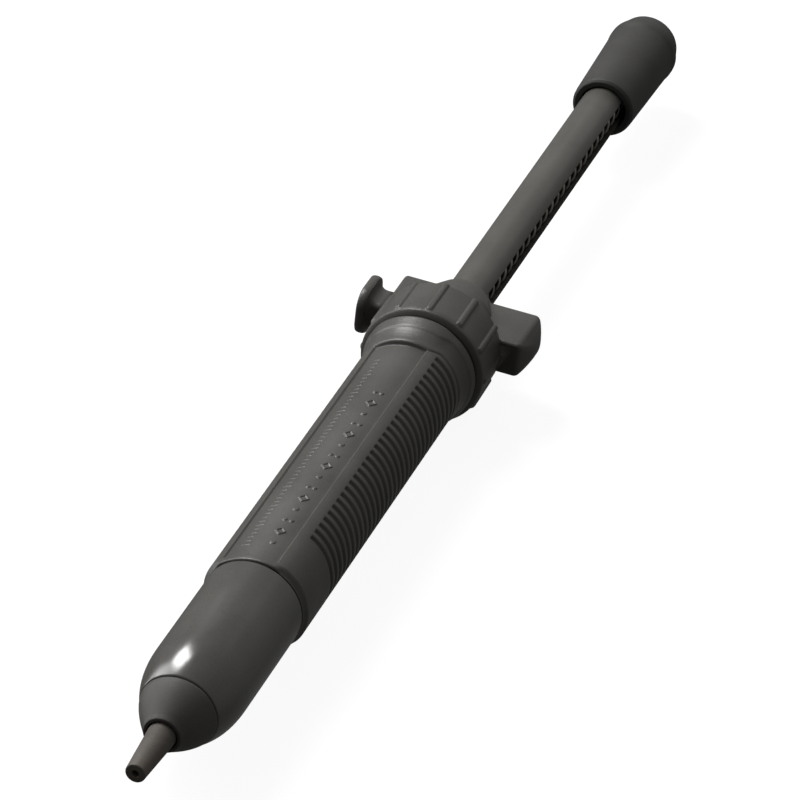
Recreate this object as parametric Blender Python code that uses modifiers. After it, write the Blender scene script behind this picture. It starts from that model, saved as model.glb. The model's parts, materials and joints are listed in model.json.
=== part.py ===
"""Desoldering pump, drawn out. Shapes are given in millimetres in the tool's own frame:
x along the crossbar towards its long end, y from the nozzle's end to the knob, z up.
The axis of the tool is x = 0, z = 0 there, and the nozzle ends at y = 0."""

import math

import bmesh
import bpy
from mathutils import Matrix, Vector

MM = 0.001
AXIS_X = -0.3
AXIS_Z = 13.8
LENGTH = 303.3

BARREL_R = 10.2
BARREL_REAR_R = 9.2
BORE_R = 8.0
GRIP_FRONT = 59.4
GRIP_REAR = 152.2
GRIP_BORE_R = 9.45
LABEL_TURN = -13.5
LABEL_HALF = 32.5
PANEL_FRONT = 61.2
PANEL_REAR = 144.2
GROOVE_FIRST = 72.6
GROOVE_PITCH = 2.34
GROOVE_WIDTH = 1.25
GROOVE_COUNT = 31
GROOVE_FLOOR_R = 10.35

RING_FRONT = 152.6
RING_REAR = 164.8
RING_R = 13.4
RIB_R = 13.8
RIB_COUNT = 12
BAR_FRONT = 164.1
BAR_REAR_LEFT = 178.7
BAR_REAR_RIGHT = 177.2
BAR_LEFT = -13.2
BAR_RIGHT = 19.3
BAR_Z = 3.95
BUTTON_Y = 170.3
BUTTON_FACE_X = -18.7
TRIGGER_TRAVEL = 2.0
PLATE_R = 7.65

TUBE_R = 4.95
TUBE_BORE_R = 4.1
TUBE_FRONT = 157.0
TUBE_REAR = 292.0
SLOT_HALF = 2.6
SLOT_FRONT = 172.2
SLOT_REAR = 284.0
LATCH_NOTCH_Y = 248.6

MAIN_SPRING_FRONT = 176.6
MAIN_SPRING_REAR = 286.0
MAIN_SPRING_PITCH = 3.5
MAIN_WIRE_R = 0.45

FINE = 48
MEDIUM = 32
SMALL = 24

scene = bpy.context.scene


def clear_scene():
    for thing in list(bpy.data.objects):
        bpy.data.objects.remove(thing, do_unlink=True)


def new_collection(name, hidden):
    found = bpy.data.collections.new(name)
    scene.collection.children.link(found)
    found.hide_render = hidden
    return found


clear_scene()
PUMP = new_collection("desoldering_pump", False)
CUTTERS = new_collection("cutters", True)


def plastic(name, colour, roughness, metallic=0.0):
    made = bpy.data.materials.new(name)
    made.use_nodes = True
    shader = made.node_tree.nodes["Principled BSDF"]
    shader.inputs["Base Color"].default_value = (*colour, 1.0)
    shader.inputs["Roughness"].default_value = roughness
    shader.inputs["Metallic"].default_value = metallic
    made.diffuse_color = (*colour, 1.0)
    return made


def place(obj, origin=(0.0, 0.0, 0.0)):
    """Puts an object whose mesh is in the tool's frame, less origin, where it belongs."""
    x, y, z = origin
    obj.location = ((x + AXIS_X) * MM, (y - LENGTH / 2) * MM, (z + AXIS_Z) * MM)


def add(name, data, material=None, origin=(0.0, 0.0, 0.0)):
    """A named node, or a hidden helper where there is no material."""
    obj = bpy.data.objects.new(name, data)
    if material is None:
        CUTTERS.objects.link(obj)
        obj.hide_render = True
        obj.display_type = "WIRE"
    else:
        PUMP.objects.link(obj)
        data.materials.append(material)
    place(obj, origin)
    return obj


def facing_out(points):
    """The outline, ordered so that its turned surface faces out."""
    area = 0.0
    for (y0, r0), (y1, r1) in zip(points, points[1:] + points[:1]):
        area += y0 * r1 - y1 * r0
    return points if area > 0 else points[::-1]


def turned(name, outline, steps, material=None, origin=(0.0, 0.0, 0.0)):
    """A body turned about the tool's axis from (y, radius) points.
    An outline that starts and ends on the axis is solid, and any other is a closed loop."""
    solid = outline[0][1] == 0 and outline[-1][1] == 0
    points = facing_out(outline)
    data = bpy.data.meshes.new(name)
    spots = [(r * MM, (y - origin[1]) * MM, 0.0) for y, r in points]
    edges = [(i, i + 1) for i in range(len(spots) - 1)]
    if not solid:
        edges.append((len(spots) - 1, 0))
    data.from_pydata(spots, edges, [])
    obj = add(name, data, material, origin)
    screw = obj.modifiers.new("turn", "SCREW")
    screw.axis = "Y"
    screw.steps = steps
    screw.render_steps = steps
    screw.use_merge_vertices = True
    screw.merge_threshold = 1e-6
    screw.use_smooth_shade = True
    screw.use_normal_calculate = False
    return obj


def boxed(name, low, high, bevel=0.0, material=None, origin=(0.0, 0.0, 0.0)):
    data = bpy.data.meshes.new(name)
    mesh = bmesh.new()
    bmesh.ops.create_cube(mesh, size=1.0)
    low, high, origin = Vector(low), Vector(high), Vector(origin)
    for vert in mesh.verts:
        corner = Vector(high[i] if vert.co[i] > 0 else low[i] for i in range(3))
        vert.co = (corner - origin) * MM
    mesh.to_mesh(data)
    mesh.free()
    obj = add(name, data, material, tuple(origin))
    if bevel:
        edge = obj.modifiers.new("edges", "BEVEL")
        edge.width = bevel * MM
        edge.segments = 2
    return obj


def rod_along_x(name, x0, x1, y, z, radius, steps, material=None, origin=(0.0, 0.0, 0.0)):
    data = bpy.data.meshes.new(name)
    mesh = bmesh.new()
    turn = Matrix.Rotation(math.pi / 2, 4, "Y")
    shift = Matrix.Translation((Vector(((x0 + x1) / 2, y, z)) - Vector(origin)) * MM)
    bmesh.ops.create_cone(
        mesh,
        cap_ends=True,
        segments=steps,
        radius1=radius * MM,
        radius2=radius * MM,
        depth=(x1 - x0) * MM,
        matrix=shift @ turn,
    )
    mesh.to_mesh(data)
    mesh.free()
    return add(name, data, material, origin)


def combine(obj, other, operation):
    step = obj.modifiers.new(operation.lower(), "BOOLEAN")
    step.operation = operation
    step.solver = "EXACT"
    step.object = other


def tube_skin(name, rings, material=None, origin=(0.0, 0.0, 0.0), closed_loop=False):
    """Joins rings of points in the tool's frame, each with the same count, into one body.
    The ends are capped, or the last ring joins the first where closed_loop is set."""
    data = bpy.data.meshes.new(name)
    mesh = bmesh.new()
    origin = Vector(origin)
    rows = [[mesh.verts.new((Vector(p) - origin) * MM) for p in ring] for ring in rings]
    pairs = list(zip(rows, rows[1:]))
    if closed_loop:
        pairs.append((rows[-1], rows[0]))
    count = len(rows[0])
    for first, second in pairs:
        for i in range(count):
            j = (i + 1) % count
            mesh.faces.new((first[i], first[j], second[j], second[i]))
    if not closed_loop:
        mesh.faces.new(rows[0][::-1])
        mesh.faces.new(rows[-1])
    bmesh.ops.recalc_face_normals(mesh, faces=mesh.faces)
    mesh.to_mesh(data)
    mesh.free()
    return add(name, data, material, tuple(origin))


def coil(name, centre, along, turns, radius, wire_r, per_turn, material, origin):
    """A helical spring from a poly curve. centre gives a point on its axis at a share
    of its length, and along is the pair of directions its circle lies in."""
    curve = bpy.data.curves.new(name, "CURVE")
    curve.dimensions = "3D"
    curve.bevel_depth = wire_r * MM
    curve.bevel_resolution = 1
    curve.use_fill_caps = True
    spline = curve.splines.new("POLY")
    count = int(turns * per_turn) + 1
    spline.points.add(count - 1)
    first, second = Vector(along[0]), Vector(along[1])
    for i, point in enumerate(spline.points):
        share = i / (count - 1)
        angle = 2 * math.pi * turns * share
        spot = Vector(centre(share)) + radius * (first * math.cos(angle) + second * math.sin(angle))
        point.co = (*((spot - Vector(origin)) * MM), 1.0)
    return add(name, curve, material, origin)


def ring_o(name, y, major, minor, steps, material, origin=(0.0, 0.0, 0.0)):
    sides = 8
    outline = []
    for i in range(sides):
        angle = 2 * math.pi * i / sides
        outline.append((y + minor * math.sin(angle), major + minor * math.cos(angle)))
    return turned(name, outline, steps, material, origin)


def washer(name, y0, y1, inner, outer, steps, material, origin=(0.0, 0.0, 0.0)):
    outline = [(y0, inner), (y0, outer), (y1, outer), (y1, inner)]
    return turned(name, outline, steps, material, origin)


def grip_radius(turn):
    """Outer radius of the grip at an angle in degrees from a label panel's middle."""
    turn = abs((turn + 90.0) % 180.0 - 90.0)
    if turn <= LABEL_HALF:
        return 10.45 + 0.25 * (turn / LABEL_HALF) ** 2
    if turn <= 45.0:
        return 10.75 + 0.25 * (turn - LABEL_HALF) / (45.0 - LABEL_HALF)
    return 10.8 + 0.2 * math.cos(math.radians(90.0 * (turn - 45.0) / 45.0))


def grip_ring(y, inset=0.0, dished=False, round_r=None, blend=0.0):
    """One ring of points round the grip. inset shrinks it, dished sinks its label
    panels, and blend mixes it with a circle of radius round_r."""
    ring = []
    count = 60
    for i in range(count):
        degrees = 360.0 * i / count
        turn = degrees - LABEL_TURN
        radius = grip_radius(turn) - inset
        off_label = abs((turn + 90.0) % 180.0 - 90.0)
        if dished and off_label < LABEL_HALF:
            radius -= 0.3
        if round_r is not None:
            radius += (round_r - radius) * blend
        angle = math.radians(degrees)
        ring.append((radius * math.sin(angle), y, radius * math.cos(angle)))
    return ring


def round_ring(y, radius, count=60):
    ring = []
    for i in range(count):
        angle = 2 * math.pi * i / count
        ring.append((radius * math.sin(angle), y, radius * math.cos(angle)))
    return ring


def rounded_rectangle(x, y_middle, wide_y, wide_z, corner):
    """Points of a rounded rectangle that faces along x."""
    ring = []
    for quarter in range(4):
        across = (wide_y / 2 - corner) * (1 if quarter in (0, 3) else -1)
        up = (wide_z / 2 - corner) * (1 if quarter in (0, 1) else -1)
        for step in range(4):
            angle = math.pi / 2 * (quarter + step / 3)
            y = y_middle + across + corner * math.cos(angle)
            z = up + corner * math.sin(angle)
            ring.append((x, y, z))
    return ring


BLACK = plastic("dark_plastic", (0.060, 0.058, 0.053), 0.42)
GLOSS = plastic("barrel_plastic", (0.058, 0.056, 0.051), 0.25)
KNOB = plastic("knob_plastic", (0.050, 0.049, 0.046), 0.55)
TUBE = plastic("tube_plastic", (0.070, 0.067, 0.060), 0.35)
TIP = plastic("nozzle_plastic", (0.115, 0.092, 0.080), 0.5)
RUBBER = plastic("seal_rubber", (0.02, 0.02, 0.02), 0.7)
STEEL = plastic("spring_steel", (0.35, 0.34, 0.32), 0.35, 1.0)
INNER = plastic("inner_plastic", (0.45, 0.45, 0.43), 0.45)
BRASS = plastic("brass", (0.70, 0.52, 0.22), 0.3, 1.0)


def build_nose():
    turned(
        "nozzle_tip",
        [
            (0.0, 0.75), (0.0, 1.75), (0.35, 2.05), (13.0, 2.85), (22.2, 2.95), (22.2, 4.9),
            (23.6, 4.9), (23.6, 1.7), (9.0, 1.5), (4.0, 0.75),
        ],
        MEDIUM,
        TIP,
    )
    ring_o("tip_seal", 21.55, 3.65, 0.5, SMALL, RUBBER)
    washer("tip_retainer", 23.9, 25.6, 2.3, 4.95, SMALL, INNER)
    turned(
        "nose_cone",
        [
            (13.1, 3.1), (12.95, 3.45), (13.1, 3.75), (13.8, 4.15), (16.0, 5.6),
            (18.0, 6.57), (20.0, 7.42), (21.1, 7.85), (21.1, 7.0), (26.5, 7.0),
            (26.5, 5.25), (20.9, 5.25), (20.9, 3.1),
        ],
        FINE,
        BLACK,
    )
    washer("nose_gasket", 26.8, 27.3, 5.6, 7.0, MEDIUM, RUBBER)


def build_barrel():
    outline = [
        (21.35, 7.98), (22.2, 8.38), (23.2, 8.75), (24.6, 9.1), (26.2, 9.42), (28.0, 9.8),
        (30.0, 10.06), (33.0, BARREL_R), (59.0, BARREL_R), (59.0, BARREL_REAR_R),
        (155.5, BARREL_REAR_R), (155.5, BORE_R), (30.2, BORE_R), (29.0, 6.4), (27.6, 6.4),
        (27.6, 7.3), (21.35, 7.3),
    ]
    turned("barrel", outline, FINE, GLOSS)


def build_grip():
    rings = [
        grip_ring(GRIP_FRONT, 0.3),
        grip_ring(GRIP_FRONT + 0.4),
        grip_ring(PANEL_FRONT - 0.15),
        grip_ring(PANEL_FRONT + 0.15, 0.0, True),
        grip_ring(PANEL_REAR - 0.15, 0.0, True),
        grip_ring(PANEL_REAR + 0.15),
        grip_ring(145.6, 0.0, False, 11.0, 0.7),
        round_ring(147.3, 11.2),
        round_ring(148.9, 11.75),
        round_ring(151.5, 12.5),
        round_ring(GRIP_REAR, 12.2),
        round_ring(GRIP_REAR, GRIP_BORE_R),
        round_ring(GRIP_FRONT, GRIP_BORE_R),
    ]
    grip = tube_skin("grip_sleeve", rings, BLACK, closed_loop=True)
    data = bpy.data.meshes.new("grip_grooves")
    mesh = bmesh.new()
    arc = 6
    for side in (0.0, 180.0):
        for n in range(GROOVE_COUNT):
            y0 = GROOVE_FIRST + n * GROOVE_PITCH
            rows = []
            for k in range(arc + 1):
                angle = math.radians(LABEL_TURN + side + 45.0 + 90.0 * k / arc)
                s, c = math.sin(angle), math.cos(angle)
                row = []
                for y, r in (
                    (y0, GROOVE_FLOOR_R),
                    (y0 + GROOVE_WIDTH, GROOVE_FLOOR_R),
                    (y0 + GROOVE_WIDTH, 12.0),
                    (y0, 12.0),
                ):
                    row.append(mesh.verts.new((r * s * MM, y * MM, r * c * MM)))
                rows.append(row)
            mesh.faces.new(rows[0])
            mesh.faces.new(rows[-1][::-1])
            for first, second in zip(rows, rows[1:]):
                for i in range(4):
                    j = (i + 1) % 4
                    mesh.faces.new((first[i], second[i], second[j], first[j]))
    bmesh.ops.recalc_face_normals(mesh, faces=mesh.faces)
    mesh.to_mesh(data)
    mesh.free()
    combine(grip, add("grip_grooves", data), "DIFFERENCE")


def build_bar():
    """The crossbar, with a domed right end. Its rear face steps forward inside the hub."""
    left, right = BAR_REAR_LEFT - BAR_FRONT, BAR_REAR_RIGHT - BAR_FRONT
    stations = (
        (BAR_LEFT, left, 0.7, 0.5),
        (BAR_LEFT + 0.5, left, 0.0, 0.8),
        (-4.0, left, 0.0, 0.8),
        (4.0, right, 0.0, 0.8),
        (BAR_RIGHT - 1.9, right, 0.0, 0.8),
        (BAR_RIGHT - 1.4, right, 0.7, 0.9),
        (BAR_RIGHT - 0.6, right, 2.8, 1.1),
        (BAR_RIGHT, right, 5.4, 1.1),
    )
    rings = []
    for x, wide, less, corner in stations:
        middle = BAR_FRONT + wide / 2
        rings.append(rounded_rectangle(x, middle, wide - less, 2 * BAR_Z - less, corner))
    return tube_skin("bar", rings)


def build_cap():
    cap = turned(
        "rear_cap",
        [
            (RING_FRONT, 0.0), (RING_FRONT, 12.2), (RING_FRONT + 0.7, 13.05),
            (RING_FRONT + 1.6, RING_R), (RING_REAR - 0.5, RING_R - 0.15),
            (RING_REAR, RING_R - 0.6), (RING_REAR, 9.8), (172.4, 9.1),
            (175.5, 7.6), (177.8, 6.7), (179.1, 5.95), (179.7, 5.4), (179.7, 0.0),
        ],
        FINE,
        BLACK,
    )
    combine(cap, build_bar(), "UNION")
    data = bpy.data.meshes.new("ribs")
    mesh = bmesh.new()
    for n in range(RIB_COUNT):
        spin = Matrix.Rotation(2 * math.pi * n / RIB_COUNT, 4, "Y")
        shift = Matrix.Translation(Vector((RIB_R - 1.2, 158.95, 0.0)) * MM)
        size = Matrix.Diagonal((2.4 * MM, 11.1 * MM, 1.1 * MM, 1.0))
        bmesh.ops.create_cube(mesh, size=1.0, matrix=spin @ shift @ size)
    mesh.to_mesh(data)
    mesh.free()
    combine(cap, add("ribs", data), "UNION")
    bore = turned(
        "cap_bore",
        [
            (150.0, 0.0), (150.0, 9.5), (162.5, 9.5), (162.5, 7.9), (172.0, 7.9),
            (172.0, 5.1), (181.0, 5.1), (181.0, 0.0),
        ],
        FINE,
    )
    combine(cap, bore, "DIFFERENCE")
    pocket = boxed("neck_pocket", (-14.0, 165.3, -3.35), (-10.6, 173.1, 3.35))
    combine(cap, pocket, "DIFFERENCE")
    window = boxed("button_window", (-11.5, 166.3, -3.0), (-6.0, 171.95, 3.0))
    combine(cap, window, "DIFFERENCE")
    arm = boxed("plate_channel", (6.0, 168.5, -3.0), (11.3, 171.95, 3.0))
    combine(cap, arm, "DIFFERENCE")
    combine(cap, rod_along_x("spring_pocket", 9.0, 15.2, BUTTON_Y, 0.0, 2.3, SMALL), "DIFFERENCE")
    combine(cap, rod_along_x("pin_hole", 4.0, 14.4, 174.2, 0.0, 1.1, 16), "DIFFERENCE")
    washer("rear_seal_ring", 155.8, 156.6, 7.95, 9.2, MEDIUM, RUBBER)
    washer("bumper_ring", 157.2, 160.6, 5.4, 9.2, MEDIUM, RUBBER)
    turned(
        "guide_ring",
        [
            (160.9, 5.1), (160.9, 9.2), (162.2, 9.2), (162.2, 7.6), (168.3, 7.6),
            (168.3, 5.1),
        ],
        MEDIUM,
        INNER,
    )


def build_trigger():
    origin = (0.0, BUTTON_Y, 0.0)
    stations = (
        (BUTTON_FACE_X, 170.0, 10.6, 9.6, 3.9),
        (BUTTON_FACE_X + 0.25, 170.0, 11.3, 10.4, 4.2),
        (BUTTON_FACE_X + 0.6, 170.0, 11.5, 10.6, 4.3),
        (BUTTON_FACE_X + 1.4, 170.0, 11.4, 10.5, 4.3),
        (BUTTON_FACE_X + 1.8, 169.9, 10.4, 9.4, 3.6),
        (BUTTON_FACE_X + 2.3, 169.55, 8.5, 7.4, 2.2),
        (BUTTON_FACE_X + 3.0, 169.3, 7.6, 6.5, 1.4),
        (-13.0, 169.2, 7.3, 6.2, 1.2),
        (-12.8, 169.2, 7.3, 6.2, 1.2),
        (-12.8, 169.15, 5.1, 5.3, 0.6),
        (-9.7, 169.15, 5.1, 5.3, 0.6),
    )
    rings = [rounded_rectangle(*station) for station in stations]
    tube_skin("trigger_button", rings, BLACK, origin)
    count = 64
    outer, inner = [], []
    for i in range(count):
        angle = 2 * math.pi * i / count
        c, s = math.cos(angle), math.sin(angle)
        # The plate keeps clear of the cap's bore at rest and pressed in.
        b = -TRIGGER_TRAVEL * c
        pressed = b + math.sqrt(b * b - TRIGGER_TRAVEL**2 + PLATE_R**2)
        reach = min(PLATE_R, pressed)
        side = -9.4 if c < 0 else 8.9
        if abs(c) > 1e-9 and abs(s * side / c) <= 2.7:
            reach = max(reach, abs(side / c))
        elif abs(s) > 1e-9 and 2.7 / abs(s) > reach:
            reach = min(abs(side / c), 2.7 / abs(s))
        outer.append((reach * c, reach * s))
        radius = 5.25
        middle = -2.1 if c < 0 else 0.0
        # Where the ray meets the round end of the slotted hole.
        b = middle * c
        reach = b + math.sqrt(max(b * b - middle * middle + radius * radius, 0.0))
        if c < 0 and abs(reach * c) < 2.1:
            reach = radius / abs(s)
        inner.append((reach * c, reach * s))
    rings = []
    for points, y in ((outer, 168.7), (outer, 171.5), (inner, 171.5), (inner, 168.7)):
        rings.append([(x, y, z) for x, z in points])
    tube_skin("latch_plate", rings, STEEL, origin, closed_loop=True)
    coil(
        "trigger_spring",
        lambda share: (9.6 + 5.1 * share, BUTTON_Y, 0.0),
        ((0.0, 1.0, 0.0), (0.0, 0.0, 1.0)),
        6.0,
        1.6,
        0.22,
        10,
        STEEL,
        (14.7, BUTTON_Y, 0.0),
    )


def build_plunger():
    tube = turned(
        "plunger_tube",
        [
            (TUBE_FRONT, TUBE_BORE_R), (TUBE_FRONT, TUBE_R), (TUBE_REAR, TUBE_R),
            (TUBE_REAR, TUBE_BORE_R),
        ],
        MEDIUM,
        TUBE,
    )
    slot = boxed("slot", (1.0, SLOT_FRONT, -SLOT_HALF), (7.0, SLOT_REAR, SLOT_HALF))
    combine(tube, slot, "DIFFERENCE")
    y = LATCH_NOTCH_Y
    notch = boxed("notch", (1.2, y - 1.6, -4.4), (7.0, y + 1.6, -3.1))
    combine(tube, notch, "DIFFERENCE")
    turned(
        "tube_plug",
        [
            (286.9, 0.0), (286.9, 3.8), (292.3, 3.8), (292.3, 4.9), (294.2, 4.9),
            (294.2, 0.0),
        ],
        SMALL,
        INNER,
    )
    turned(
        "knob",
        [
            (268.8, 5.35), (268.8, 6.2), (269.1, 6.6), (270.2, 7.05), (289.0, 7.6),
            (294.5, 7.8), (295.8, 7.95), (296.8, 7.93), (297.5, 7.6), (298.7, 7.3),
            (300.4, 6.95), (301.3, 6.4), (302.4, 5.1), (303.0, 3.6), (LENGTH, 2.0),
            (LENGTH, 0.0), (294.6, 0.0), (294.6, 5.25), (268.7, 5.25),
        ],
        FINE,
        KNOB,
    )
    turned(
        "piston_carrier",
        [
            (147.7, 1.6), (147.7, 7.6), (150.2, 7.6), (150.2, 5.7), (152.9, 5.7),
            (152.9, 7.6), (156.7, 7.6), (156.7, 3.8), (165.0, 3.8), (165.0, 1.6),
        ],
        MEDIUM,
        INNER,
    )
    ring_o("piston_o_ring", 151.55, 6.85, 1.0, MEDIUM, RUBBER)
    washer("piston_washer", 146.4, 147.4, 1.7, 6.4, MEDIUM, STEEL)
    turned(
        "cleaning_pin",
        [
            (77.0, 0.0), (77.0, 0.3), (77.6, 0.6), (139.5, 0.6), (140.5, 2.4),
            (146.1, 2.4), (146.1, 1.35), (160.0, 1.35), (160.0, 0.0),
        ],
        16,
        BRASS,
    )


def build_main_spring():
    span = MAIN_SPRING_REAR - MAIN_SPRING_FRONT
    coil(
        "main_spring",
        lambda share: (0.0, MAIN_SPRING_FRONT + span * share, 0.0),
        ((1.0, 0.0, 0.0), (0.0, 0.0, 1.0)),
        span / MAIN_SPRING_PITCH,
        3.4,
        MAIN_WIRE_R,
        10,
        STEEL,
        (0.0, MAIN_SPRING_FRONT, 0.0),
    )
    washer("spring_seat_washer", 175.35, 176.05, 1.5, 3.85, SMALL, STEEL)
    rod_along_x("spring_stop_pin", -2.6, 14.2, 174.2, 0.0, 1.0, 16, STEEL)


build_nose()
build_barrel()
build_grip()
build_cap()
build_trigger()
build_plunger()
build_main_spring()
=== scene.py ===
import json
import math

import bmesh
import bpy
import numpy as np
from mathutils import Matrix, Vector


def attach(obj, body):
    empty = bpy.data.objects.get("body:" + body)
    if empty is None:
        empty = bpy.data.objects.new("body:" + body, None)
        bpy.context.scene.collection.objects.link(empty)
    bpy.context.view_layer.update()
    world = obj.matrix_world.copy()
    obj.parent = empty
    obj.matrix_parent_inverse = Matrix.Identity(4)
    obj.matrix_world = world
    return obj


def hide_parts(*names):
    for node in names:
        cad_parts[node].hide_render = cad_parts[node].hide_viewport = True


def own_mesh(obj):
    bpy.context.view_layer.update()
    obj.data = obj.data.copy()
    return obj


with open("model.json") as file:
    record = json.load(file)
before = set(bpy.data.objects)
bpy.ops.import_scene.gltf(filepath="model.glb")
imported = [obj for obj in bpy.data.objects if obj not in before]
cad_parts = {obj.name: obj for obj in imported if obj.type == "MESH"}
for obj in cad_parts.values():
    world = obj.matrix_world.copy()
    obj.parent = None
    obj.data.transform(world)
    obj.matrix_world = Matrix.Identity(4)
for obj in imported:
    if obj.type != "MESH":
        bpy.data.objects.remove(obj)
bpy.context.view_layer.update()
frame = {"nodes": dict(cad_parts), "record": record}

# Sizes are in millimetres in the tool's frame: x along the crossbar, y from the nozzle's
# end to the knob, z up, with the tool's axis at x = 0, z = 0.
MM = 0.001
AXIS_X = -0.3
AXIS_Z = 13.8
LENGTH = 303.3
OFFSET = np.array([AXIS_X, -LENGTH / 2, AXIS_Z])

LABEL_TURN = -13.5
LABEL_HALF = 32.5
GRIP_FRONT = 59.4
GRIP_REAR = 152.2
PANEL_FRONT = 61.4
PANEL_REAR = 144.4
GROOVE_FIRST = 72.6
GROOVE_PITCH = 2.34
GROOVE_COUNT = 31
GRIP_BORE_R = 9.45
PANEL_DEPTH = 0.45
MARK_HEIGHT = 0.18
GROOVE_DEPTH = 0.55
LIP = 144.6
LIP_STEP = 1.1
BARREL_R = 10.19
DOME_FRONT = 21.35
DOME_LENGTH = 12.0
DOME_RISE = 2.22
NOSE_FRONT = 13.9
NOSE_LENGTH = 7.2
NOSE_R = 7.86
NOSE_RISE = 3.61
RING_FRONT = 152.6
RING_REAR = 164.8
RING_R = 13.4
RIB_SPACING = 30.0
RIB_HALF = 0.72
RIB_HEIGHT = 0.45
RIB_TOP_R = 13.79
BAR_FRONT = 164.1
BAR_REAR_LEFT = 178.7
BAR_REAR_RIGHT = 177.2
BAR_LEFT = -13.2
BAR_RIGHT = 17.8
BAR_DOME = 1.74
BAR_HALF_Z = 3.95
BUTTON_Y = 169.8
TUBE_R = 4.95
TUBE_BORE_R = 4.1
SLOT_HALF = 2.6
NOTCH_Y = 248.6
SHORT_SPRING_Y = 170.3

CAMERA_TILT = 52.88
CAMERA_LEAN = 54.96
CAMERA_TURN = 23.5
CAMERA_LENS = 269.64
SEEN_Y = 7.22
SEEN_RIGHT = -0.04625
SEEN_UP = -0.0652
SEEN_AWAY = 1.1079


# ---------------------------------------------------------------- materials


class Nodes:
    """Short calls for building a material's node tree."""

    def __init__(self, name):
        self.material = bpy.data.materials.new(name)
        self.material.use_nodes = True
        self.tree = self.material.node_tree
        self.shader = self.tree.nodes["Principled BSDF"]

    def add(self, kind, **settings):
        node = self.tree.nodes.new(kind)
        for key, value in settings.items():
            setattr(node, key, value)
        return node

    def join(self, start, end):
        self.tree.links.new(start, end)

    def coords(self):
        return self.add("ShaderNodeTexCoord").outputs["Object"]

    def noise(self, vector, scale, detail=4.0, roughness=0.55, stretch=None):
        if stretch is not None:
            mapping = self.add("ShaderNodeMapping")
            mapping.inputs["Scale"].default_value = stretch
            self.join(vector, mapping.inputs["Vector"])
            vector = mapping.outputs["Vector"]
        node = self.add("ShaderNodeTexNoise")
        node.inputs["Scale"].default_value = scale
        node.inputs["Detail"].default_value = detail
        node.inputs["Roughness"].default_value = roughness
        self.join(vector, node.inputs["Vector"])
        return node.outputs["Fac"]

    def ramp(self, value, stops):
        node = self.add("ShaderNodeValToRGB")
        ramp = node.color_ramp
        while len(ramp.elements) < len(stops):
            ramp.elements.new(0.5)
        for element, (place, colour) in zip(ramp.elements, stops):
            element.position = place
            element.color = (*colour, 1.0)
        self.join(value, node.inputs["Fac"])
        return node.outputs["Color"]

    def spread(self, value, low, high):
        node = self.add("ShaderNodeMapRange")
        node.inputs["From Min"].default_value = 0.3
        node.inputs["From Max"].default_value = 0.7
        node.inputs["To Min"].default_value = low
        node.inputs["To Max"].default_value = high
        self.join(value, node.inputs["Value"])
        return node.outputs["Result"]

    def bump(self, height, strength, distance, normal=None):
        node = self.add("ShaderNodeBump")
        node.inputs["Strength"].default_value = strength
        node.inputs["Distance"].default_value = distance
        self.join(height, node.inputs["Height"])
        if normal is not None:
            self.join(normal, node.inputs["Normal"])
        return node.outputs["Normal"]


def moulded(name, dark, light, rough, grain, grain_scale=9000.0, specular=0.5):
    """Moulded plastic: a fine grain, faint flow marks, handling marks and small scratches."""
    n = Nodes(name)
    where = n.coords()
    cloud = n.noise(where, 90.0, 5.0)
    speck = n.noise(where, 2600.0, 3.0)
    mix = n.add("ShaderNodeMath", operation="MULTIPLY_ADD")
    n.join(speck, mix.inputs[0])
    mix.inputs[1].default_value = 0.6
    n.join(cloud, mix.inputs[2])
    n.join(n.ramp(mix.outputs[0], ((0.6, dark), (1.0, light))), n.shader.inputs["Base Color"])
    smear = n.noise(where, 160.0, 6.0, 0.65, (1.0, 0.35, 1.0))
    n.join(n.spread(smear, rough - 0.05, rough + 0.07), n.shader.inputs["Roughness"])
    fine = n.noise(where, grain_scale, 2.0)
    waves = n.noise(where, 260.0, 2.0)
    first = n.bump(waves, 0.05, 0.0003)
    middle = n.noise(where, 3400.0, 2.0)
    second = n.bump(middle, grain, 0.00004, first)
    n.join(n.bump(fine, grain, 0.00003, second), n.shader.inputs["Normal"])
    n.shader.inputs["Specular IOR Level"].default_value = specular
    return n.material


def metal(name, dark, light, rough, stretch=(1.0, 1.0, 1.0)):
    """Bare metal with drawn or turned marks and a slight tarnish."""
    n = Nodes(name)
    where = n.coords()
    tarnish = n.noise(where, 400.0, 5.0)
    n.join(n.ramp(tarnish, ((0.35, dark), (0.7, light))), n.shader.inputs["Base Color"])
    marks = n.noise(where, 1800.0, 3.0, 0.6, stretch)
    n.join(n.spread(marks, rough - 0.08, rough + 0.12), n.shader.inputs["Roughness"])
    n.join(n.bump(marks, 0.15, 0.00003), n.shader.inputs["Normal"])
    n.shader.inputs["Metallic"].default_value = 1.0
    return n.material


def rubber(name):
    n = Nodes(name)
    where = n.coords()
    dust = n.noise(where, 900.0, 4.0)
    stops = ((0.4, (0.012, 0.012, 0.012)), (0.8, (0.03, 0.03, 0.03)))
    n.join(n.ramp(dust, stops), n.shader.inputs["Base Color"])
    n.join(n.spread(dust, 0.55, 0.75), n.shader.inputs["Roughness"])
    n.join(n.bump(n.noise(where, 5000.0), 0.2, 0.00003), n.shader.inputs["Normal"])
    return n.material


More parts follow.
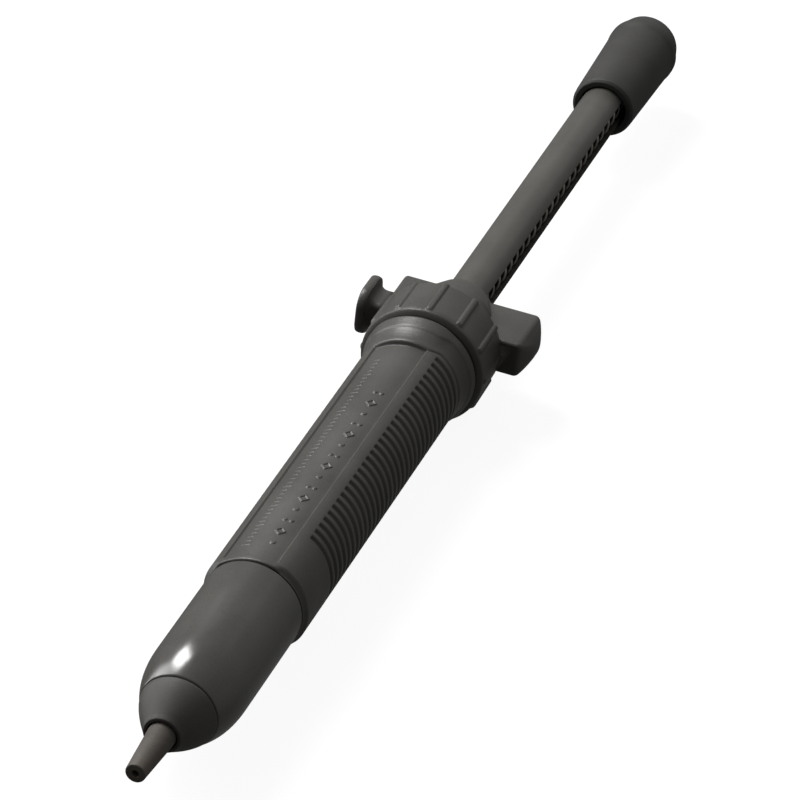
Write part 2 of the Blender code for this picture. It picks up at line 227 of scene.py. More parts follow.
BODY = moulded(
    "body_plastic", (0.046, 0.0445, 0.041), (0.065, 0.0625, 0.058),
    0.38, 0.5, 9000.0, 0.42,
)
BARREL = moulded(
    "barrel_plastic", (0.051, 0.0495, 0.046), (0.066, 0.064, 0.059),
    0.2, 0.12, 9000.0, 0.8,
)
NOSE = moulded(
    "nose_plastic", (0.044, 0.0425, 0.039), (0.060, 0.058, 0.054),
    0.56, 0.4, 9000.0, 0.35,
)
KNOB = moulded(
    "knob_plastic", (0.027, 0.0265, 0.0255), (0.038, 0.037, 0.0355),
    0.55, 0.5, 7000.0, 0.35,
)
TUBE = moulded(
    "tube_plastic", (0.056, 0.054, 0.049), (0.074, 0.071, 0.064),
    0.34, 0.2,
)
TIP = moulded(
    "nozzle_plastic", (0.070, 0.062, 0.055), (0.106, 0.094, 0.082),
    0.62, 0.3, 9000.0, 0.25,
)
INNER = moulded(
    "inner_plastic", (0.38, 0.38, 0.36), (0.48, 0.48, 0.46),
    0.42, 0.2,
)
SEAL = rubber("seal_rubber")
STEEL = metal(
    "spring_steel", (0.24, 0.23, 0.21), (0.42, 0.40, 0.37),
    0.32, (1.0, 0.2, 1.0),
)
BRASS = metal(
    "brass_metal", (0.50, 0.36, 0.14), (0.74, 0.56, 0.26),
    0.3, (0.3, 1.0, 0.3),
)

LOOKS = {
    "body_plastic": BODY,
    "barrel_plastic": BARREL,
    "knob_plastic": KNOB,
    "tube_plastic": TUBE,
    "nozzle_plastic": TIP,
    "inner_plastic": INNER,
    "seal_rubber": SEAL,
    "spring_steel": STEEL,
    "brass": BRASS,
}


def dress_frame():
    """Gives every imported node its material."""
    for part in frame["record"]["subparts"]:
        node = frame["nodes"][part["node"]]
        node.data.materials.clear()
        node.data.materials.append(LOOKS[part["material_slot"]])


# ------------------------------------------------------------------- meshes


def link(name, data, material, body, nodes=()):
    obj = bpy.data.objects.new(name, data)
    bpy.context.scene.collection.objects.link(obj)
    data.materials.append(material)
    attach(obj, body)
    for node in nodes:
        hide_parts(node)
    return obj


def mesh_of(name, points, faces):
    """A smooth-shaded mesh from points in millimetres and faces of four corners."""
    points = (np.asarray(points, float) + OFFSET) * MM
    faces = np.asarray(faces, np.int32)
    data = bpy.data.meshes.new(name)
    data.vertices.add(len(points))
    data.vertices.foreach_set("co", points.astype(np.float32).ravel())
    data.loops.add(faces.size)
    data.loops.foreach_set("vertex_index", faces.ravel())
    data.polygons.add(len(faces))
    data.polygons.foreach_set("loop_start", np.arange(0, faces.size, faces.shape[1], dtype=np.int32))
    data.polygons.foreach_set("use_smooth", np.ones(len(faces), bool))
    data.update(calc_edges=True)
    data.validate()
    return data


def grid(rows, wrap_rows=False):
    """Points and faces of a rows x columns x 3 array joined into a sheet, closed across its columns."""
    rows = np.asarray(rows, float)
    m, n = rows.shape[:2]
    index = np.arange(m * n).reshape(m, n)
    a = index if wrap_rows else index[:-1]
    b = np.roll(index, -1, 0) if wrap_rows else index[1:]
    faces = np.stack([a, np.roll(a, -1, 1), np.roll(b, -1, 1), b], -1).reshape(-1, 4)
    return rows.reshape(-1, 3), faces


def merged(pieces):
    """Several (points, faces) as one."""
    points, faces, start = [], [], 0
    for p, f in pieces:
        points.append(p)
        faces.append(f + start)
        start += len(p)
    return np.concatenate(points), np.concatenate(faces)


def fillet(outline, steps=5):
    """Rounds the corners of a closed outline of (y, radius, fillet) points."""
    result = []
    count = len(outline)
    for i, (y, r, f) in enumerate(outline):
        here = np.array([y, r])
        if f == 0:
            result.append(here)
            continue
        before = np.array(outline[i - 1][:2]) - here
        after = np.array(outline[(i + 1) % count][:2]) - here
        la, lb = np.linalg.norm(before), np.linalg.norm(after)
        before, after = before / la, after / lb
        half = math.acos(max(-1.0, min(1.0, float(before @ after)))) / 2
        reach = min(f / math.tan(half), la * 0.49, lb * 0.49)
        start, end = here + before * reach, here + after * reach
        for k in range(steps + 1):
            s = k / steps
            result.append((1 - s) ** 2 * start + 2 * s * (1 - s) * here + s * s * end)
    return result


def thickened(points, step):
    """Adds points along long straight runs of a closed outline, so that shading stays even."""
    result = []
    count = len(points)
    for i in range(count):
        a, b = points[i], points[(i + 1) % count]
        length = np.linalg.norm(b - a)
        cuts = [0.0]
        if length > 0.6:
            cuts += [0.08 / length, 0.2 / length]
            middle = int(length / step)
            cuts += [k / (middle + 1) for k in range(1, middle + 1)]
            cuts += [1 - 0.2 / length, 1 - 0.08 / length]
        result += [a + (b - a) * c for c in sorted(set(cuts))]
    return result


def lathe_sheet(outline, segments=160, step=4.0):
    """A turned piece from a closed outline of (y, radius, fillet) points."""
    points = thickened(fillet(outline), step)
    angles = np.linspace(0, 2 * math.pi, segments, endpoint=False)
    rows = []
    for y, r in points:
        r = max(float(r), 1e-4)
        rows.append(np.stack([r * np.sin(angles), np.full(segments, y), r * np.cos(angles)], -1))
    return grid(np.array(rows), wrap_rows=True)


def smoothstep(low, high, value):
    s = np.clip((value - low) / (high - low), 0, 1)
    return s * s * (3 - 2 * s)


def window(low, high, edge, value):
    """1 between low and high and 0 outside, with soft edges."""
    return smoothstep(low - edge / 2, low + edge / 2, value) * (
        1 - smoothstep(high - edge / 2, high + edge / 2, value)
    )


# --------------------------------------------------------------- front end


def build_nozzle():
    outline = [
        (0.0, 0.74, 0.12), (0.0, 2.02, 0.35), (13.0, 2.84, 0), (22.2, 2.9, 0.1), (22.2, 4.9, 0.2),
        (23.6, 4.9, 0.2), (23.6, 1.7, 0.1), (9.0, 1.5, 0.5), (4.0, 0.74, 0.5),
    ]
    points, faces = lathe_sheet(outline, 96)
    link("nozzle", mesh_of("nozzle", points, faces), TIP, "body", ["nozzle_tip"])


def build_nose():
    dome = [
        (NOSE_FRONT + NOSE_LENGTH * k / 24, NOSE_R - NOSE_RISE * (1 - k / 24) ** 1.27, 0)
        for k in range(25)
    ]
    outline = [
        (13.4, 3.08, 0.1), (12.95, 3.12, 0.12), (12.95, 3.75, 0.4),
        *dome,
        (21.1, 7.0, 0.1), (26.5, 7.0, 0.3),
        (26.5, 5.25, 0.3), (20.9, 5.25, 0.2), (20.9, 3.08, 0.2),
    ]
    points, faces = lathe_sheet(outline, 192)
    link("nose", mesh_of("nose", points, faces), NOSE, "body", ["nose_cone"])


def build_barrel():
    dome = [
        (DOME_FRONT + DOME_LENGTH * k / 30, BARREL_R - DOME_RISE * (1 - k / 30) ** 2.5, 0)
        for k in range(31)
    ]
    outline = [
        *dome,
        (59.1, BARREL_R, 0.1), (59.1, 9.2, 0.1), (155.5, 9.2, 0.2), (155.5, 8.0, 0.2),
        (30.2, 8.0, 0.3), (29.0, 6.4, 0.3), (27.6, 6.4, 0.1), (27.6, 7.3, 0.1),
        (DOME_FRONT, 7.3, 0.1),
    ]
    points, faces = lathe_sheet(outline, 192)
    data = mesh_of("barrel_shell", points, faces)
    link("barrel_shell", data, BARREL, "body", ["barrel"])


# -------------------------------------------------------------------- grip


def grip_radius(turn):
    """The grip's outer radius at angles in degrees from a label panel's middle."""
    turn = np.abs((turn + 90.0) % 180.0 - 90.0)
    label = 10.42 + 0.25 * (turn / LABEL_HALF) ** 2
    ribbed = 10.8 + 0.2 * np.cos(np.radians(2 * (turn - 45.0)))
    share = smoothstep(LABEL_HALF - 4.0, 45.0, turn)
    return label * (1 - share) + ribbed * share


def marks(turn, y):
    """Height of the plain raised marks on the label panels, 0 to 1."""
    height = np.zeros(np.broadcast(turn, y).shape)
    # A row of marks: dots, lozenges and pairs of dots in turn.
    across = (turn - 14.0) * 0.18
    for k in range(15):
        middle = 67.3 + 4.15 * k
        along = y - middle
        kind = k % 3
        if kind == 0:
            shape = 1 - smoothstep(0.5, 0.7, np.hypot(along, across))
        elif kind == 1:
            size = np.abs(along) * 0.9 + np.abs(across)
            shape = window(0.75, 1.22, 0.16, size)
        else:
            near = np.hypot(along, np.abs(across) - 0.72)
            shape = 1 - smoothstep(0.36, 0.54, near)
        height = np.maximum(height, shape)
    # A row of short ticks, every fifth one longer.
    across = (turn + 15.5) * 0.18
    for k in range(50):
        middle = 65.8 + 1.48 * k
        reach = 0.95 if k % 5 == 0 else 0.55
        along = np.abs(y - middle) - 0.2
        shape = 1 - smoothstep(0.0, 0.14, np.maximum(along, np.abs(across) - reach))
        height = np.maximum(height, 0.45 * shape)
    return height


def grip_columns(step):
    """Angles round the grip in degrees, closer together at the label panels' edges."""
    found = list(np.arange(0, 360, step))
    for middle in (LABEL_TURN, LABEL_TURN + 180.0):
        for edge in (-LABEL_HALF, LABEL_HALF):
            found += list(middle + edge + np.arange(-1.5, 1.51, 0.2))
    return np.unique(np.round(np.mod(found, 360.0), 2))


def build_grip():
    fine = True
    degrees = grip_columns(0.5 if fine else 0.75)
    columns = len(degrees)
    step = 0.12 if fine else 0.16
    stations = [GRIP_FRONT] + list(np.arange(GRIP_FRONT + 0.04, GRIP_REAR - 0.02, step)) + [GRIP_REAR]
    y = np.array(stations)[:, None]
    turn = (degrees - LABEL_TURN)[None, :]
    off = np.abs((turn + 90.0) % 180.0 - 90.0)
    radius = grip_radius(turn) + 0.0 * y
    # Sunk label panels with plain relief.
    panel = window(PANEL_FRONT, PANEL_REAR, 0.35, y)
    panel = panel * (1 - smoothstep(LABEL_HALF - 0.7, LABEL_HALF + 0.5, off))
    front_half = np.abs((turn + 180.0) % 360.0 - 180.0) < 90.0
    local = np.where(front_half, (turn + 180.0) % 360.0 - 180.0, (turn % 360.0) - 180.0)
    radius = radius - PANEL_DEPTH * panel + MARK_HEIGHT * marks(local, y) * panel
    # Grooves round both sides.
    place = (y - GROOVE_FIRST) / GROOVE_PITCH
    phase = place - np.floor(place)
    groove = window(0.12, 0.52, 0.26, phase) * ((place >= 0) & (place < GROOVE_COUNT))
    sides = smoothstep(44.6, 46.6, off)
    radius = radius - GROOVE_DEPTH * groove * sides
    # Bell-shaped rear end, its lip a little further back over the ribbed sides.
    lip = LIP + LIP_STEP * smoothstep(LABEL_HALF, 50.0, off)
    bell = np.interp(
        y - lip,
        [-0.4, 0.0, 0.3, 0.7, 1.5, 2.4, 3.3, 4.0, 4.3, 4.6, 5.0, 6.9, 7.6],
        [10.4, 10.8, 10.97, 11.02, 11.08, 11.22, 11.43, 11.64, 11.81, 11.96, 12.05, 12.43, 12.54],
    )
    edge = np.clip(1 - (GRIP_REAR - y) / 0.6, 0, 1)
    bell = bell - 0.6 * (1 - np.sqrt(1 - edge**2))
    share = smoothstep(-0.45, 0.0, y - lip)
    radius = radius * (1 - share) + bell * share
    # Rounded front edge.
    ahead = np.clip(1 - (y - GRIP_FRONT) / 0.55, 0, 1)
    radius = radius - 0.55 * (1 - np.sqrt(1 - ahead**2))
    # The ribbed sides slope down to the barrel at the front.
    slope = 1 - smoothstep(GRIP_FRONT, GRIP_FRONT + 1.5, y)
    slope = slope * smoothstep(LABEL_HALF - 2.0, LABEL_HALF + 10.0, off)
    radius = radius - (radius - (BARREL_R + 0.03)) * slope
    angles = np.radians(degrees)
    outer = np.stack(
        [radius * np.sin(angles), np.broadcast_to(y, radius.shape), radius * np.cos(angles)], -1
    )
    ends = []
    for place, r in (
        (GRIP_REAR, 11.7), (GRIP_REAR, 9.6),
        (GRIP_REAR - 0.2, GRIP_BORE_R), (GRIP_FRONT + 0.1, GRIP_BORE_R),
    ):
        ends.append(np.stack([r * np.sin(angles), np.full(columns, place), r * np.cos(angles)], -1))
    front = radius[0] - 0.12
    for r in (9.6, front):
        ends.append(np.stack([r * np.sin(angles), np.full(columns, GRIP_FRONT), r * np.cos(angles)], -1))
    points, faces = grid(np.concatenate([outer, np.array(ends)]), wrap_rows=True)
    link("grip", mesh_of("grip", points, faces), BODY, "body", ["grip_sleeve"])


# ---------------------------------------------------------------- rear cap


def rounded_section(wide, tall, corner, steps=8):
    """Points (y, z) of a rounded rectangle round the origin."""
    points = []
    for quarter in range(4):
        across = (wide / 2 - corner) * (1 if quarter in (0, 3) else -1)
        up = (tall / 2 - corner) * (1 if quarter in (0, 1) else -1)
        for k in range(steps + 1):
            angle = math.pi / 2 * (quarter + k / steps)
            points.append((across + corner * math.cos(angle), up + corner * math.sin(angle)))
    return np.array(points)


def loft_along_x(stations):
    """A body from (x, middle y, width along y, height along z, corner) stations, with flat ends."""
    rows = []
    for x, middle, wide, tall, corner in stations:
        section = rounded_section(wide, tall, corner)
        row = np.stack([np.full(len(section), x), section[:, 0] + middle, section[:, 1]], -1)
        rows.append(row)
    first, last = rows[0], rows[-1]
    start = [first.mean(0) + (first - first.mean(0)) * s for s in (1e-3, 0.5, 0.9)]
    end = [last.mean(0) + (last - last.mean(0)) * s for s in (0.9, 0.5, 1e-3)]
    return grid(np.array(start + rows + end))


def ring_sheet():
    """The ribbed ring as an open sheet from its bore round the outside to the hub."""
    columns = 720
    degrees = np.linspace(0, 360, columns, endpoint=False)
    angles = np.radians(degrees)
    stations = np.concatenate([
        np.arange(RING_FRONT, RING_FRONT + 1.6, 0.06),
        np.arange(RING_FRONT + 1.6, RING_REAR - 1.4, 0.25),
        np.arange(RING_REAR - 1.4, RING_REAR + 0.001, 0.06),
    ])
    y = stations[:, None]
    base = RING_R - 0.15 * (y - RING_FRONT) / (RING_REAR - RING_FRONT) + np.zeros((1, columns))
    front = np.clip(1 - (y - RING_FRONT) / 1.7, 0, 1)
    brink = np.clip(1 - (y - RING_FRONT) / 0.8, 0, 1)
    base = base - 0.3 * front**1.5 - 0.9 * brink**1.6
    rear = np.clip(1 - (RING_REAR - y) / 0.45, 0, 1)
    base = base - 0.45 * (1 - np.sqrt(1 - rear**2))
    off = np.abs((degrees + RIB_SPACING / 2) % RIB_SPACING - RIB_SPACING / 2) * math.pi / 180 * RING_R
    rib = np.clip(1 - (off / RIB_HALF) ** 2.6, 0, 1) ** 0.7
    length = smoothstep(RING_FRONT + 0.9, RING_FRONT + 1.9, y)
    radius = np.minimum(base + RIB_HEIGHT * rib[None, :] * length, RIB_TOP_R)
    outer = np.stack(
        [radius * np.sin(angles), np.broadcast_to(y, radius.shape), radius * np.cos(angles)], -1
    )
    inside = [
        (RING_REAR, 12.5), (RING_REAR, 11.0), (RING_REAR, 9.0), (164.0, 8.9), (163.0, 8.8), (162.5, 9.0),
        (162.5, 9.5), (160.0, 9.5), (156.0, 9.5), (152.2, 9.5), (RING_FRONT, 9.8), (RING_FRONT, 11.8),
    ]
    rows = [outer]
    for place, r in inside:
        rows.append(np.stack([r * np.sin(angles), np.full(columns, place), r * np.cos(angles)], -1)[None])
    return grid(np.concatenate(rows), wrap_rows=True)


def hub_sheet():
    outline = [
        (163.6, 9.9, 0), (172.2, 9.0, 4.0), (175.6, 7.75, 2.0), (177.9, 6.85, 2.0),
        (179.4, 5.85, 1.0), (179.7, 5.3, 0.15), (179.7, 5.1, 0.05), (172.0, 5.1, 0.2),
        (172.0, 7.9, 0.2), (163.6, 7.9, 0),
    ]
    return lathe_sheet(outline, 160)


def bar_sheet():
    """The crossbar: rounded edges and a domed right end. Its rear face steps inside the hub."""
    left, right = BAR_REAR_LEFT - BAR_FRONT, BAR_REAR_RIGHT - BAR_FRONT
    corner, edge, end_edge = 0.8, 0.8, 1.5
    stations = []
    for k in range(7):
        angle = math.pi / 2 * k / 6
        less = edge * (1 - math.sin(angle))
        stations.append((BAR_LEFT + edge * (1 - math.cos(angle)), left, 2 * less))
    stations += [(-8.0, left, 0.0), (-4.0, left, 0.0)]
    stations += [(4.0, right, 0.0), (8.0, right, 0.0), (13.0, right, 0.0)]
    for k in range(7):
        angle = math.radians(90 - 55 * k / 6)
        less = end_edge * (1 - math.sin(angle))
        stations.append((BAR_RIGHT - end_edge * (1 - math.cos(angle)), right, 2 * less))
    rows = []
    for x, wide, less in stations:
        section = rounded_section(wide - less, 2 * BAR_HALF_Z - less, corner)
        across = section[:, 0] + BAR_FRONT + wide / 2
        rows.append(np.stack([np.full(len(section), x), across, section[:, 1]], -1))
    first = rows[0]
    start = [first.mean(0) + (first - first.mean(0)) * s for s in (1e-3, 0.3, 0.6, 0.9)]
    end = []
    x, wide, less = stations[-1]
    for s in (0.97, 0.92, 0.84, 0.72, 0.58, 0.42, 0.25, 0.1, 1e-3):
        tall = (2 * BAR_HALF_Z - less) * s
        round_by = min(0.49 * tall, corner + 3.0 * (1 - s))
        section = rounded_section((wide - less) * s, tall, round_by)
        across = section[:, 0] + BAR_FRONT + wide / 2
        place = x + BAR_DOME * (1 - s**2.2)
        end.append(np.stack([np.full(len(section), place), across, section[:, 1]], -1))
    return grid(np.array(start + rows + end))


def box_cutter(name, low, high):
    data = bpy.data.meshes.new(name)
    xs, ys, zs = zip(low, high)
    corners = [(x, y, z) for x in xs for y in ys for z in zs]
    points = [tuple((np.array(c) + OFFSET) * MM) for c in corners]
    faces = [(0, 1, 3, 2), (4, 6, 7, 5), (0, 4, 5, 1), (2, 3, 7, 6), (0, 2, 6, 4), (1, 5, 7, 3)]
    data.from_pydata(points, [], faces)
    return data


def solid_step(data, other, operation):
    """A mesh joined with another, or cut by it."""
    for mesh in (data, other):
        edit = bmesh.new()
        edit.from_mesh(mesh)
        bmesh.ops.recalc_face_normals(edit, faces=edit.faces)
        edit.to_mesh(mesh)
        edit.free()
    first = bpy.data.objects.new("first", data)
    second = bpy.data.objects.new("second", other)
    for obj in (first, second):
        bpy.context.scene.collection.objects.link(obj)
    step = first.modifiers.new("step", "BOOLEAN")
    step.operation = operation
    step.solver = "EXACT"
    step.object = second
    graph = bpy.context.evaluated_depsgraph_get()
    result = bpy.data.meshes.new_from_object(first.evaluated_get(graph))
    for obj in (first, second):
        bpy.data.objects.remove(obj)
    return result


def build_cap():
    ring = mesh_of("ring", *ring_sheet())
    hub = mesh_of("hub", *hub_sheet())
    bar = mesh_of("bar", *bar_sheet())
    for low, high in (
        ((-14.0, 165.3, -3.35), (-10.6, 173.1, 3.35)),
        ((-11.5, 166.3, -3.0), (-6.0, 171.95, 3.0)),
        ((6.0, 168.5, -3.0), (11.3, 171.95, 3.0)),
        ((11.0, 168.0, -2.3), (15.2, 172.6, 2.3)),
    ):
        bar = solid_step(bar, box_cutter("cutter", low, high), "DIFFERENCE")
        hub = solid_step(hub, box_cutter("cutter", low, high), "DIFFERENCE")
    bore_outline = [
        (160.0, 0.0, 0), (160.0, 7.9, 0), (172.0, 7.9, 0), (172.0, 5.12, 0), (181.0, 5.12, 0),
        (181.0, 0.0, 0),
    ]
    bore = mesh_of("bore", *lathe_sheet(bore_outline, 160))
    bar = solid_step(bar, bore, "DIFFERENCE")
    whole = solid_step(solid_step(ring, hub, "UNION"), bar, "UNION")
    link("cap", whole, BODY, "body", ["rear_cap"])


def build_button():
    stations = [(-18.55, BUTTON_Y, 9.5, 8.3, 3.2), (-18.6, BUTTON_Y, 10.2, 9.0, 3.3)]
    # A thin raised rim round the face.
    for k in range(9):
        angle = math.pi * k / 8
        less = 0.55 * (1 - math.sin(angle))
        place = -17.8 - 0.88 * math.cos(angle)
        stations.append((place, BUTTON_Y, 11.8 - less, 10.6 - less, 3.8 - less / 2))
    # The back of the head turns in to the neck.
    stations.append((-16.9, BUTTON_Y, 11.4, 10.2, 3.6))
    for k in range(1, 17):
        share = k / 16
        x = -16.9 + 0.2 * math.sin(math.pi / 2 * min(1.0, share * 3)) + 2.3 * share**1.7
        narrow = 1 - (1 - share) ** 2.2
        middle = BUTTON_Y - 0.6 * narrow
        stations.append((x, middle, 11.4 - 4.1 * narrow, 10.2 - 4.0 * narrow, 3.6 - 2.4 * narrow))
    stations += [(-12.8, 169.2, 7.3, 6.2, 1.2), (-12.8, 169.15, 5.1, 5.3, 0.6), (-9.7, 169.15, 5.1, 5.3, 0.6)]
    points, faces = loft_along_x(stations)
    link("button", mesh_of("button", points, faces), BODY, "trigger", ["trigger_button"])


# ----------------------------------------------------------------- plunger


def build_tube():
    """The slotted tube: a C-shaped section between two full rings."""
    corner = 0.12
    count = 120
    # Angles run from one edge of the slot round the closed side to the other, and back inside.
    outer_half = math.asin(SLOT_HALF / TUBE_R)
    inner_half = math.asin(SLOT_HALF / TUBE_BORE_R)
    outer_angles = np.linspace(outer_half, 2 * math.pi - outer_half, count)
    inner_angles = np.linspace(2 * math.pi - inner_half, inner_half, count)
    outline = []
    for r, angles in ((TUBE_R, outer_angles), (TUBE_BORE_R, inner_angles)):
        for i, angle in enumerate(angles):
            turned = math.pi / 2 + angle
            rounding = corner if i in (0, count - 1) else 0
            outline.append((r * math.sin(turned), r * math.cos(turned), rounding))
    section = np.array(fillet(outline))
    rows = []
    for y in [172.2, 172.3, 172.5] + list(np.arange(174.0, 283.0, 6.0)) + [283.6, 283.9, 284.0]:
        rows.append(np.stack([section[:, 0], np.full(len(section), y), section[:, 1]], -1))
    points, faces = grid(np.array(rows))
    # The ends are closed by faces from the outer to the inner side of the wall.
    around = len(section)
    low = np.arange(around // 2 - 1)
    cap = np.stack([low, low + 1, around - 2 - low, around - 1 - low], -1)
    faces = np.concatenate([faces, cap[:, ::-1], cap + around * (len(rows) - 1)])
    channel = solid_step(
        mesh_of("channel", points, faces),
        box_cutter("cutter", (1.2, NOTCH_Y - 1.6, -4.4), (7.0, NOTCH_Y + 1.6, -3.1)),
        "DIFFERENCE",
    )
    link("tube", channel, TUBE, "plunger", ["plunger_tube"])
    front_outline = [
        (157.0, TUBE_BORE_R, 0.1), (157.0, TUBE_R, 0.1), (172.3, TUBE_R, 0.05), (172.3, TUBE_BORE_R, 0.05),
    ]
    front = lathe_sheet(front_outline, count)
    back_outline = [
        (283.9, TUBE_BORE_R, 0.05), (283.9, TUBE_R, 0.05), (292.0, TUBE_R, 0.1), (292.0, TUBE_BORE_R, 0.1),
    ]
    back = lathe_sheet(back_outline, count)
    points, faces = merged([front, back])
    link("tube_ends", mesh_of("tube_ends", points, faces), TUBE, "plunger")


def build_knob():
    outline = [
        (269.0, 5.25, 0.1), (268.8, 5.5, 0.1), (268.8, 6.4, 0.35), (269.3, 6.98, 0.4), (270.4, 7.07, 0.6),
        (289.0, 7.6, 0), (294.3, 7.76, 0.8), (295.6, 7.96, 0.6), (297.0, 7.96, 0.5), (297.5, 7.55, 0.5),
        (299.2, 7.25, 1.0), (301.0, 6.75, 1.5), (302.4, 5.2, 1.8), (303.25, 2.2, 1.5), (303.3, 0.0, 0),
        (294.6, 0.0, 0), (294.6, 5.25, 0.2),
    ]
    points, faces = lathe_sheet(outline, 160)
    link("push_knob", mesh_of("push_knob", points, faces), KNOB, "plunger", ["knob"])


def coil_mesh(name, start, end, turns, radius, wire, sides, closing, node, along_x):
    """A round-wire compression spring with closed end coils."""
    per_turn = 30
    count = int(turns * per_turn)
    share = np.linspace(0, 1, count + 1)
    angle = share * turns * 2 * math.pi
    # The end coils lie close together.
    turn_at = share * turns
    closed_pitch = 2 * wire * 1.06
    open_pitch = (end - start - 2 * closing * closed_pitch) / (turns - 2 * closing)
    pitch = np.where((turn_at < closing) | (turn_at > turns - closing), closed_pitch, open_pitch)
    place = np.concatenate([[0], np.cumsum((pitch[1:] + pitch[:-1]) / 2 * np.diff(turn_at))])
    place = start + place / place[-1] * (end - start)
    c, s = np.cos(angle), np.sin(angle)
    zero = np.zeros_like(c)
    if along_x:
        centre = np.stack([place, radius * c, radius * s], -1)
        outward = np.stack([zero, c, s], -1)
        forward = np.array([1.0, 0, 0])
    else:
        centre = np.stack([radius * c, place, radius * s], -1)
        outward = np.stack([c, zero, s], -1)
        forward = np.array([0, 1.0, 0])
    tangent = np.gradient(centre, axis=0)
    tangent /= np.linalg.norm(tangent, axis=1)[:, None]
    other = np.cross(tangent, outward)
    rows = []
    for k in range(sides):
        t = 2 * math.pi * k / sides
        rows.append(centre + wire * (math.cos(t) * outward + math.sin(t) * other))
    rows = np.stack(rows, 1)
    cap0 = centre[0] + (rows[0] - centre[0]) * 1e-3
    cap1 = centre[-1] + (rows[-1] - centre[-1]) * 1e-3
    rows = np.concatenate([cap0[None], rows, cap1[None]])
    points, faces = grid(rows)
    if along_x:
        points = points + np.array([0, SHORT_SPRING_Y, 0])
    return link(name, mesh_of(name, points, faces), STEEL, "body", [node])


def build_springs():
    main = coil_mesh("long_spring", 176.55, 286.3, 31.4, 3.4, 0.45, 10, 1.5, "main_spring", False)
    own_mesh(main)
    small = coil_mesh("short_spring", 9.65, 14.75, 6.0, 1.6, 0.22, 8, 1.0, "trigger_spring", True)
    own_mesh(small)


# ------------------------------------------------------------------- stage


def area_light(name, spot, target, size, size_y, power):
    data = bpy.data.lights.new(name, "AREA")
    data.shape = "RECTANGLE"
    data.size = size
    data.size_y = size_y
    data.energy = power
    lamp = bpy.data.objects.new(name, data)
    lamp.location = spot
    lamp.rotation_mode = "QUATERNION"
    lamp.rotation_quaternion = (Vector(target) - Vector(spot)).to_track_quat("-Z", "Y")
    bpy.context.scene.collection.objects.link(lamp)


def map_range(tree, value, from_min, from_max, to_min, to_max):
    node = tree.nodes.new("ShaderNodeMapRange")
    node.inputs["From Min"].default_value = from_min
    node.inputs["From Max"].default_value = from_max
    node.inputs["To Min"].default_value = to_min
    node.inputs["To Max"].default_value = to_max
    tree.links.new(value, node.inputs["Value"])
    return node.outputs["Result"]


def build_world():
    """A dim room, darker below and in front of the nozzle."""
    world = bpy.data.worlds.new("studio")
    world.use_nodes = True
    tree = world.node_tree
    background = tree.nodes["Background"]
    where = tree.nodes.new("ShaderNodeTexCoord")
    split = tree.nodes.new("ShaderNodeSeparateXYZ")
    tree.links.new(where.outputs["Generated"], split.inputs[0])
    height = map_range(tree, split.outputs["Z"], -0.4, 0.2, 0.12, 0.305)
    ahead = map_range(tree, split.outputs["Y"], -0.95, -0.4, 0.15, 1.0)
    both = tree.nodes.new("ShaderNodeMath")
    both.operation = "MULTIPLY"
    tree.links.new(height, both.inputs[0])
    tree.links.new(ahead, both.inputs[1])
    tree.links.new(both.outputs["Value"], background.inputs["Strength"])
    background.inputs["Color"].default_value = (1.0, 0.985, 0.96, 1.0)
    bpy.context.scene.world = world


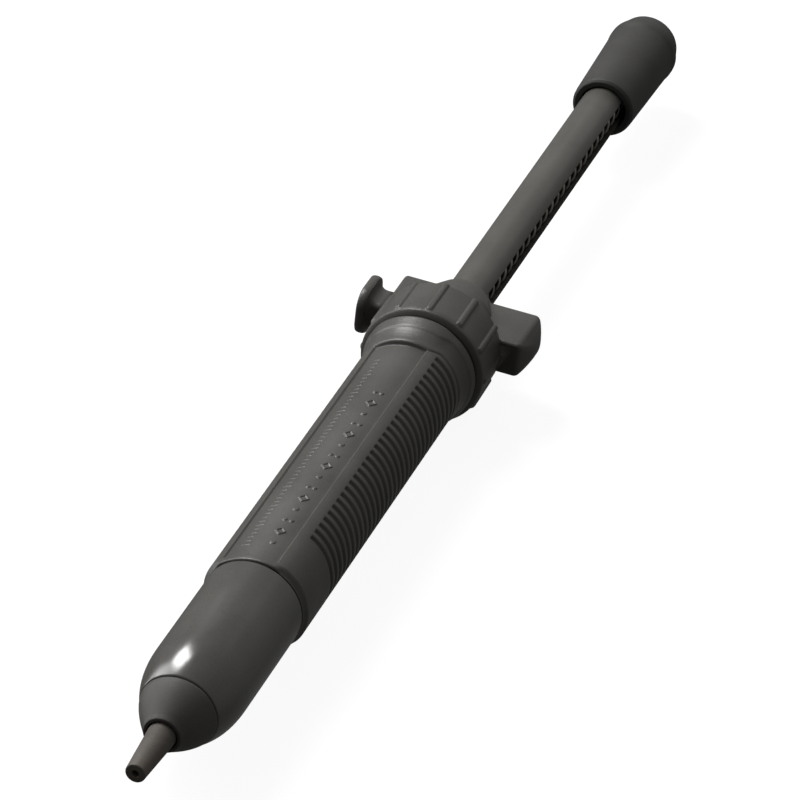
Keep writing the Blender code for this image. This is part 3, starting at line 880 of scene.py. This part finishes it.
def build_stage():
    data = bpy.data.meshes.new("floor")
    reach = 3.0
    corners = [(-reach, -reach, 0), (reach, -reach, 0), (reach, reach, 0), (-reach, reach, 0)]
    data.from_pydata(corners, [], [(0, 1, 2, 3)])
    floor = bpy.data.objects.new("floor", data)
    floor.location = (0, 0, -0.0002)
    bpy.context.scene.collection.objects.link(floor)
    n = Nodes("pale_floor")
    n.shader.inputs["Base Color"].default_value = (0.14, 0.14, 0.14, 1.0)
    n.shader.inputs["Roughness"].default_value = 0.9
    n.shader.inputs["Specular IOR Level"].default_value = 0.0
    n.shader.inputs["Emission Color"].default_value = (1.0, 1.0, 1.0, 1.0)
    n.shader.inputs["Emission Strength"].default_value = 0.92
    data.materials.append(n.material)
    floor.visible_glossy = False
    floor.visible_diffuse = False
    build_world()
    area_light("key_softbox", (-0.468, 0.253, 0.69), (0, -0.125, 0), 0.3, 0.36, 6.6)
    area_light("left_panel", (-1.0, 0.0, 0.7), (0, 0, 0), 0.7, 1.0, 5.0)
    area_light("left_low_panel", (-1.1, 0.1, 0.25), (0, 0, 0), 0.5, 1.2, 5.5)
    area_light("back_panel", (0.0, 1.2, 0.5), (0, 0, 0), 1.0, 0.6, 0.8)


def build_camera():
    """The camera is placed from how the tool's axis lies in the picture: its tilt away
    from the viewer, its lean across the picture, and the turn of the tool about it."""
    tilt, lean, turn = (math.radians(v) for v in (CAMERA_TILT, CAMERA_LEAN, CAMERA_TURN))
    along = Vector((math.cos(tilt) * math.cos(lean), math.cos(tilt) * math.sin(lean), math.sin(tilt)))
    facing = (Vector((0, 0, -1)) + along * along.z).normalized()
    aside = facing.cross(along)
    world_along = Vector((0, 1, 0))
    world_facing = Vector((math.sin(turn), 0, math.cos(turn)))
    world_aside = Vector((math.cos(turn), 0, -math.sin(turn)))
    if aside.x < 0:
        aside = -aside

    def to_world(v):
        return world_along * v.dot(along) + world_facing * v.dot(facing) + world_aside * v.dot(aside)

    right, up, away = (to_world(Vector(v)) for v in ((1, 0, 0), (0, 1, 0), (0, 0, 1)))
    seen = Vector((AXIS_X, SEEN_Y - LENGTH / 2, AXIS_Z)) * MM
    spot = seen - right * SEEN_RIGHT - up * SEEN_UP - away * SEEN_AWAY
    data = bpy.data.cameras.new("camera")
    data.sensor_width = 36.0
    data.lens = CAMERA_LENS
    data.clip_start = 0.05
    camera = bpy.data.objects.new("camera", data)
    turned = Matrix((right, up, -away)).transposed().to_4x4()
    turned.translation = spot
    camera.matrix_world = turned
    bpy.context.scene.collection.objects.link(camera)
    bpy.context.scene.camera = camera


dress_frame()
build_nozzle()
build_nose()
build_barrel()
build_grip()
build_cap()
build_button()
build_tube()
build_knob()
build_springs()
build_stage()
build_camera()
bpy.context.scene.view_settings.view_transform = "Standard"
